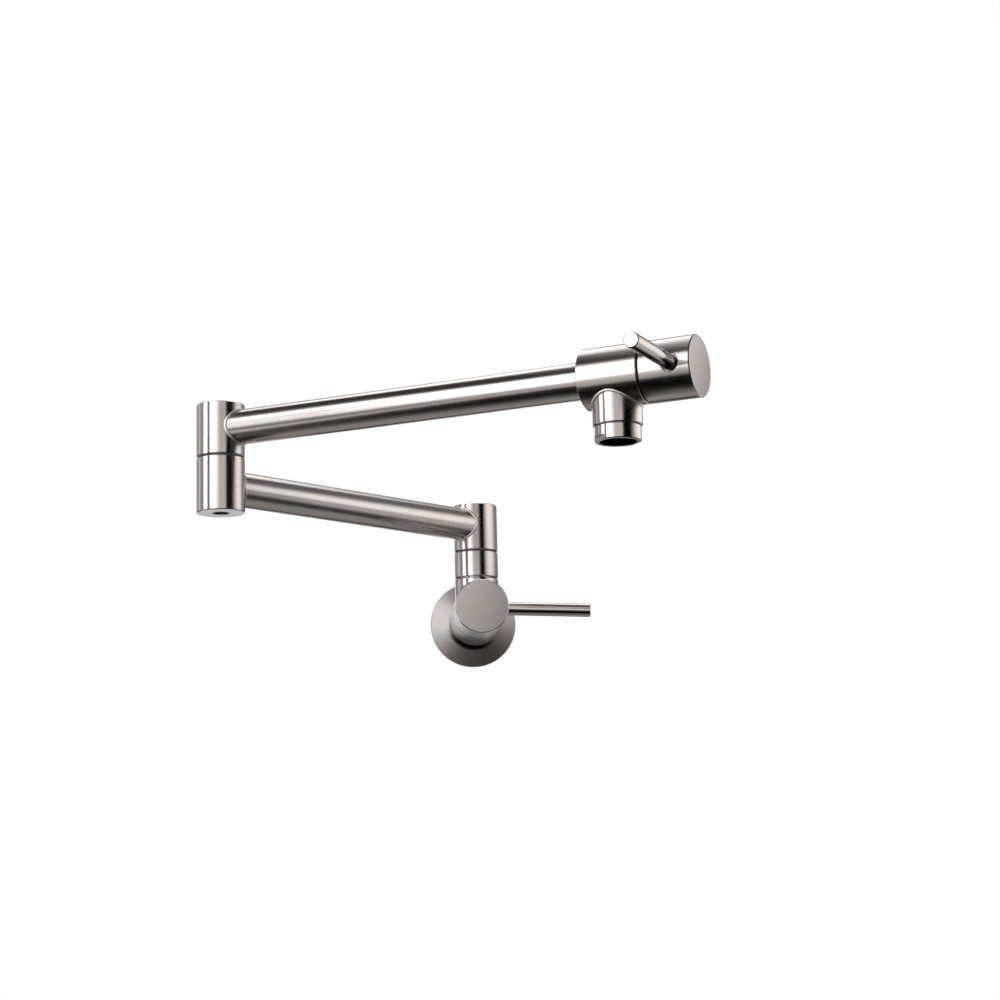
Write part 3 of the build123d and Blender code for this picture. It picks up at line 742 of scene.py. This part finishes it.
def add_card(name, sheet, strength, colour, fade):
    """Card that only mirrors see. Its fade is left, right, low and high, in the sheet's own unit."""
    place, width, height = sheet
    cells = 24
    least_fade = 0.001

    def build(shape):
        steps = range(cells + 1)
        grid = [[shape.verts.new(place(across / cells, up / cells)) for across in steps] for up in steps]
        layer = shape.loops.layers.uv.new("Card")
        for up in range(cells):
            for across in range(cells):
                corners = ((up, across), (up, across + 1), (up + 1, across + 1), (up + 1, across))
                face = shape.faces.new([grid[row][column] for row, column in corners])
                for loop, (row, column) in zip(face.loops, corners):
                    loop[layer].uv = (column / cells, row / cells)

    card = add_mesh(name, build)
    shares = [soft / size for soft, size in zip(fade, (width, width, height, height))]
    edges = {side: max(share, least_fade) for side, share in zip(CARD_SIDES, shares)}
    card.data.materials.append(card_material(name, colour, strength, edges))
    card.visible_camera = False
    card.visible_diffuse = False
    card.visible_shadow = False
    card.visible_transmission = False


def background_rays(tree, place):
    """1 for rays that should see the plain background: camera, mirrored and transmitted ones."""
    x, y = place
    path = add_node(tree, "ShaderNodeLightPath", place).outputs
    seen = math_out(tree, (x + 200, y), "MAXIMUM", path["Is Camera Ray"], path["Is Glossy Ray"])
    return math_out(tree, (x + 400, y), "MAXIMUM", seen, path["Is Transmission Ray"])


# Operators

class FAUCET_OT_set_camera(bpy.types.Operator):
    """Stand the camera where the photograph was taken"""
    bl_idname = "faucet.set_camera"
    bl_label = "Camera"

    def execute(self, context):
        view = context.scene.faucet_camera
        data = bpy.data.cameras.new("Camera")
        data.sensor_width = view.sensor
        data.lens = view.lens
        data.clip_start = 0.01
        data.clip_end = 100
        camera = bpy.data.objects.new("Camera", data)
        turn = Matrix.Rotation(view.pan, 4, "Z") @ Matrix.Rotation(math.pi / 2 + view.tilt, 4, "X")
        camera.matrix_world = Matrix.Translation(view.place) @ turn @ Matrix.Rotation(view.roll, 4, "Z")
        context.scene.collection.objects.link(camera)
        context.scene.camera = camera
        return {"FINISHED"}


class FAUCET_OT_make_effects(bpy.types.Operator):
    """Make the node groups that the materials share"""
    bl_idname = "faucet.make_effects"
    bl_label = "Shared Effects"

    def execute(self, context):
        make_brushing()
        make_cloud("Handling", "Size", 0.03, "Marks", detail=4.0, distortion=0.4)
        make_cloud("Speckle", "Grain", 0.0003, "Speckle", detail=2.0, distortion=0.0)
        make_card_edge()
        return {"FINISHED"}


class FAUCET_OT_build_studio(bpy.types.Operator):
    """Add the floor, the white background and the cards that the metal mirrors"""
    bl_idname = "faucet.build_studio"
    bl_label = "Studio"

    def execute(self, context):
        studio = context.scene.faucet_studio
        self.light_world(context.scene, studio)
        self.lay_floor(studio)
        self.hang_cards(studio)
        context.scene.view_settings.view_transform = "Standard"
        return {"FINISHED"}

    def light_world(self, scene, studio):
        """Soft light from all round, and a white background."""
        world = bpy.data.worlds.new("Studio")
        world.use_nodes = True
        tree = world.node_tree
        tree.nodes.clear()
        seen = background_rays(tree, (-600, 300))
        light = add_node(tree, "ShaderNodeBackground", (0, 100),
                         {"Color": rgba(WHITE), "Strength": studio.light})
        plain = add_node(tree, "ShaderNodeBackground", (0, -100),
                         {"Color": rgba(WHITE), "Strength": studio.background})
        mixed = add_node(tree, "ShaderNodeMixShader", (300, 0),
                         {0: seen, 1: light.outputs[0], 2: plain.outputs[0]})
        add_node(tree, "ShaderNodeOutputWorld", (500, 0), {"Surface": mixed.outputs[0]})
        world.cycles.sampling_method = "NONE"
        scene.world = world

    def lay_floor(self, studio):
        """Pale floor that shows as bright as the background."""
        def build(shape):
            reach = studio.floor_reach
            corners = ((-reach, -reach), (reach, -reach), (reach, reach), (-reach, reach))
            shape.faces.new([shape.verts.new((x, y, -studio.floor_drop)) for x, y in corners])

        floor = add_mesh("floor", build)
        material, tree = new_material("pale_floor")
        tone = studio.floor_tone
        matt = add_node(tree, "ShaderNodeBsdfDiffuse", (0, 100), {"Color": rgba((tone, tone, tone))})
        seen = background_rays(tree, (-600, -200))
        rest = math_out(tree, (0, -200), "MULTIPLY", seen, studio.background - tone)
        glow = add_node(tree, "ShaderNodeEmission", (200, -200), {"Strength": rest})
        both = add_node(tree, "ShaderNodeAddShader", (500, 0), {0: matt.outputs[0], 1: glow.outputs[0]})
        show_surface(tree, both.outputs[0])
        floor.data.materials.append(material)

    def hang_cards(self, studio):
        """Cards round the faucet, each a little nearer than the one before it, which it covers, and
        then flat cards close to it. A card has its place, strength, colour and fade."""
        cool = (0.96, 0.96, 1.0)
        warm = (1.0, 0.962, 0.935)
        spacing = 0.02
        round_cards = (
            ("room", (-180, 180), (-88, 88), 0.2, warm, (0, 0, 0, 0)),
            ("rear_top_card", (132, 234), (42, 76), 2.0, WHITE, (8, 14, 12, 8)),
            ("ceiling_flag", (-132, 115), (46, 88), 0.03, WHITE, (12, 14, 6, 1)),
            ("rear_left_card", (-156, -92), (-26, 44), 0.4, cool, (14, 4, 14, 10)),
            ("rear_left_strip", (-130, -104), (-26, 44), 0.8, cool, (10, 10, 14, 10)),
            ("rear_strip", (160, 208), (-16, 26), 1.2, cool, (12, 12, 4, 14)),
            ("rear_right_card", (108, 172), (-24, 40), 0.3, warm, (14, 14, 14, 14)),
            ("low_rear_card", (104, 252), (-72, -24), 0.36, warm, (20, 20, 14, 10)),
            ("rear_low_flag", (136, 234), (-38, -12), 0.0, warm, (10, 10, 8, 6)),
            ("low_left_card", (-104, -22), (-43, -8), 1.0, warm, (8, 10, 12, 6)),
            ("front_card", (-50, 26), (-18, 48), 0.9, warm, (4, 12, 14, 8)),
            ("softbox_gap", (-74, -50), (-30, 34), 0.0, WHITE, (2, 2, 14, 10)),
            ("left_softbox", (-91, -67), (-14, 47), 2.7, WHITE, (8, 2, 18, 16)),
            ("front_left_softbox", (-57, -11), (-14, 47), 2.8, WHITE, (2, 30, 18, 16)),
            ("softbox_bridge", (-70, -54), (22, 47), 2.8, WHITE, (2, 2, 10, 16)),
            ("front_top_flag", (-16, 40), (17, 33), 0.1, WHITE, (8, 8, 6, 6)),
            ("low_front_flag", (-46, 84), (-66, -14), 0.08, warm, (14, 14, 10, 10)),
            ("black_flag", (16, 86), (-30, 50), 0.0, WHITE, (12, 18, 8, 8)),
            ("low_right_flag", (76, 124), (-62, -20), 0.05, warm, (10, 16, 12, 10)),
        )
        beside = flat_sheet((0.4, -0.6, -0.06), (0, 0.8, 0), (0, 0, 0.52))
        beside_low = flat_sheet((0.39, -0.5, -0.26), (0, 0.7, 0), (0, 0, 0.32))
        below = flat_sheet((-0.85, -0.85, -0.4), (1.4, 0, 0), (0, 0.78, 0))
        above = flat_sheet((-0.2, -0.7, 0.5), (0.3, 0, 0), (0, 1.1, 0))
        above_lever = flat_sheet((0.08, -0.7, 0.49), (0.14, 0, 0), (0, 0.6, 0))
        near_cards = (
            ("near_right_card", beside, 1.55, warm, (0.42, 0.32, 0.18, 0.28)),
            ("near_right_low_card", beside_low, 1.4, warm, (0.35, 0.3, 0.35, 0.2)),
            ("near_low_flag", below, 0.0, warm, (0.15, 0.2, 0.1, 0.3)),
            ("near_top_card", above, 1.9, WHITE, (0.5, 0.07, 0.12, 0.12)),
            ("lever_top_card", above_lever, 1.6, WHITE, (0.2, 0.2, 0.2, 0.15)),
        )
        for order, (name, azimuths, elevations, *look) in enumerate(round_cards):
            distance = studio.card_distance - spacing * order
            add_card(name, round_sheet(azimuths, elevations, distance), *look)
        for card in near_cards:
            add_card(*card)


class FAUCET_OT_finish_wall_valve(bpy.types.Operator):
    """Brush the wall flange, the inlet shank and the wall valve"""
    bl_idname = "faucet.finish_wall_valve"
    bl_label = "Wall Valve"

    def execute(self, context):
        barrel_radius = half_width("valve_body", 0)
        riser_stub = Branch(line=riser_line, radius=barrel_radius + 0.03 * MM)
        # Painted shading on the wall cap's end: lit at the upper left, shaded to 0.54 at the lower
        # right.
        face = cap_end("wall_handle_cap", lit_end_tone=0.95, shaded_end_tone=0.54, roughness=0.0)
        # Painted shadow on the flange under the valve's barrel, kept to its lower side.
        under = Vector((-0.2, 0, -0.98))
        flange_painted_shadow = PaintedShadeBore(dark_radius=barrel_radius - 0.5 * MM,
                               bright_radius=barrel_radius + 1.5 * MM, side=under)
        # The flange's tone of 0.84 paints shade over all of it.
        flange = nickel("nickel_flange", wall_line, roughness=0.4, tone=0.84, stretch=0.1,
                        dark_bore=flange_painted_shadow)
        dress(nickel("nickel_wall_cap", wall_line, end=face), "wall_handle_cap")
        dress(nickel("nickel_shank", wall_line), "inlet_shank")
        dress(flange, "wall_flange")
        dress(nickel("nickel_valve_body", wall_line, branch=riser_stub), "valve_body")
        # Tone 1.1 paints light on the wall lever.
        dress(bright_nickel("nickel_wall_lever", wall_lever_line, tone=1.1), "wall_lever")
        return {"FINISHED"}


class FAUCET_OT_finish_lower_arm(bpy.types.Operator):
    """Brush the riser collar and the lower arm's riser hub and tube"""
    bl_idname = "faucet.finish_lower_arm"
    bl_label = "Lower Arm"

    def execute(self, context):
        # Painted shade in the riser hub's screw recess.
        recess = screw_recess_shade("riser_lock_screw")
        dress(nickel("nickel_riser_collar", riser_line), "riser_collar")
        dress(nickel("nickel_riser_hub", riser_line, dark_bore=recess), "lower_arm_riser_hub")
        dress(nickel("nickel_lower_tube", lower_arm_line), "lower_arm_tube")
        return {"FINISHED"}


class FAUCET_OT_finish_upper_arm(bpy.types.Operator):
    """Brush the elbow's two hubs, the upper tube, the spout's barrel and its cap"""
    bl_idname = "faucet.finish_upper_arm"
    bl_label = "Upper Arm"

    def execute(self, context):
        # Painted shade in the elbow hub's screw recess.
        recess = screw_recess_shade("elbow_lock_screw")
        # Painted shading on the elbow hub's flat foot and the spout cap's end, lit at the upper left and
        # shaded at the lower right.
        foot = FlatEnd(lit_end_tone=0.95, shaded_end_tone=0.85, roughness=-0.07,
                       reach=half_width("lower_arm_elbow_hub", 0))
        face = cap_end("spout_handle_cap", lit_end_tone=0.8, shaded_end_tone=0.42, roughness=0.25)
        lower_hub = nickel("nickel_lower_elbow", elbow_line, dark_bore=recess, end=foot)
        dress(nickel("nickel_upper_elbow", elbow_line), "upper_arm_elbow_hub")
        dress(lower_hub, "lower_arm_elbow_hub")
        dress(nickel("nickel_upper_tube", spout_line), "upper_arm_tube", "spout_body")
        dress(nickel("nickel_spout_cap", spout_line, end=face), "spout_handle_cap")
        return {"FINISHED"}


class FAUCET_OT_finish_spout(bpy.types.Operator):
    """Brush the neck, the aerator and the spout's lever"""
    bl_idname = "faucet.finish_spout"
    bl_label = "Spout"

    def execute(self, context):
        finish = context.scene.faucet_finish
        mouth_radius = half_width("aerator_insert", 0)
        # Painted shade in the aerator's mouth.
        mouth = PaintedShadeBore(dark_radius=mouth_radius + 0.15 * MM, bright_radius=mouth_radius + 0.3 * MM)
        screen = moulded("screen_plastic", finish.screen_plastic, roughness=0.45, grain=0.4 * MM,
                         depth=0.01 * MM)
        dress(nickel("nickel_neck", neck_line), "spout_neck")
        dress(nickel("nickel_aerator", neck_line, dark_bore=mouth), "aerator_housing")
        # Tone 0.85 paints shade on the spout lever.
        dress(bright_nickel("nickel_spout_lever", spout_lever_line, tone=0.85), "spout_lever")
        dress(screen, "aerator_insert")
        return {"FINISHED"}


class FAUCET_OT_lay_beads(bpy.types.Operator):
    """Lay the braze beads, drawn brighter than the nickel as a painted highlight, where the tubes and
    the neck meet round pieces
    """
    bl_idname = "faucet.lay_beads"
    bl_label = "Braze Beads"

    def execute(self, context):
        finish = context.scene.faucet_finish
        arm_way = lower_arm_line[1]
        spout_way = spout_line[1]
        tube_radius = half_width("lower_arm_tube", 2)
        hub_radius = half_width("lower_arm_riser_hub", 0)
        barrel_radius = half_width("spout_body", 2)
        neck_radius = half_width("spout_neck", 0)
        riser_foot = self.crossing(riser_line, lower_arm_line)
        elbow_foot = self.crossing(elbow_line, lower_arm_line)
        upper_foot = self.crossing(elbow_line, spout_line)
        neck_foot = self.crossing(neck_line, spout_line)
        beads = (
            ("riser_bead", "lower_arm", UP, hub_radius, riser_foot, arm_way, tube_radius),
            ("elbow_bead", "lower_arm", UP, hub_radius, elbow_foot, -arm_way, tube_radius),
            ("upper_elbow_bead", "upper_arm", UP, hub_radius, upper_foot, spout_way, tube_radius),
            ("neck_bead", "upper_arm", spout_way, barrel_radius, neck_foot, -UP, neck_radius),
        )
        for name, body, hub_way, *saddle in beads:
            foot = saddle[1]
            # The beads' near-white colour is a painted highlight line.
            material = brushed_metal(f"nickel_{name}", (foot, hub_way), finish.bead, finish.nickel,
                                     finish.bead_roughness, stretch=0.0)
            add_bead(name, body, material, saddle_line(hub_way, *saddle))
        return {"FINISHED"}

    def crossing(self, upright_line, level_line):
        """Point of an upright line at the height of a level one."""
        return upright_line[0] * LEVEL + UP * level_line[0].z


class FAUCET_OT_finish_inner_pieces(bpy.types.Operator):
    """Give the spindles, cartridges, seals, washers, discs and screws their materials"""
    bl_idname = "faucet.finish_inner_pieces"
    bl_label = "Inner Pieces"

    def execute(self, context):
        finish = context.scene.faucet_finish
        rubber = moulded("rubber", finish.rubber, roughness=0.5, grain=0.3 * MM, depth=0.01 * MM)
        nylon = moulded("nylon", finish.nylon, roughness=0.4, grain=0.3 * MM, depth=0.005 * MM)
        ceramic = moulded("ceramic", finish.ceramic, roughness=0.12, grain=0.2 * MM, depth=0.001 * MM)
        for side, line in (("wall", wall_line), ("spout", spout_line)):
            dress(brass(f"brass_{side}", line), f"{side}_cartridge", f"{side}_stem")
            dress(screw_steel(f"screw_steel_{side}", line), f"{side}_grub_screw")
            dress(rubber, f"{side}_cartridge_gasket", f"{side}_cartridge_seal", f"{side}_stem_seal")
            dress(ceramic, f"{side}_fixed_disc", f"{side}_turning_disc")
        for side, line in (("riser", riser_line), ("elbow", elbow_line)):
            dress(brass(f"brass_{side}", line), f"{side}_spindle")
            dress(screw_steel(f"screw_steel_{side}", line), f"{side}_lock_screw")
            dress(rubber, f"{side}_spindle_seals")
            dress(nylon, f"{side}_slip_washer", f"{side}_lock_washer")
        dress(rubber, "flange_seal", "flange_gasket", "riser_pilot_seal", "aerator_washer")
        return {"FINISHED"}


STEPS = (
    FAUCET_OT_set_camera,
    FAUCET_OT_make_effects,
    FAUCET_OT_build_studio,
    FAUCET_OT_finish_wall_valve,
    FAUCET_OT_finish_lower_arm,
    FAUCET_OT_finish_upper_arm,
    FAUCET_OT_finish_spout,
    FAUCET_OT_lay_beads,
    FAUCET_OT_finish_inner_pieces,
)


class FAUCET_PT_steps(bpy.types.Panel):
    """Steps and settings of the faucet's finish"""
    bl_idname = "FAUCET_PT_steps"
    bl_label = "Faucet"
    bl_space_type = "VIEW_3D"
    bl_region_type = "UI"
    bl_category = "Faucet"

    def draw(self, context):
        column = self.layout.column()
        for step in STEPS:
            column.operator(step.bl_idname)
        for settings in ("faucet_camera", "faucet_studio", "faucet_finish"):
            group = getattr(context.scene, settings)
            for name in group.__annotations__:
                column.prop(group, name)


CLASSES = (FaucetFinish, FaucetStudio, FaucetCamera, *STEPS, FAUCET_PT_steps)


def register():
    for kind in CLASSES:
        bpy.utils.register_class(kind)
    bpy.types.Scene.faucet_finish = PointerProperty(type=FaucetFinish)
    bpy.types.Scene.faucet_studio = PointerProperty(type=FaucetStudio)
    bpy.types.Scene.faucet_camera = PointerProperty(type=FaucetCamera)


def unregister():
    del bpy.types.Scene.faucet_camera
    del bpy.types.Scene.faucet_studio
    del bpy.types.Scene.faucet_finish
    for kind in reversed(CLASSES):
        bpy.utils.unregister_class(kind)


def main():
    register()
    for step in STEPS:
        section, name = step.bl_idname.split(".")
        getattr(getattr(bpy.ops, section), name)()


if __name__ == "__main__":
    main()
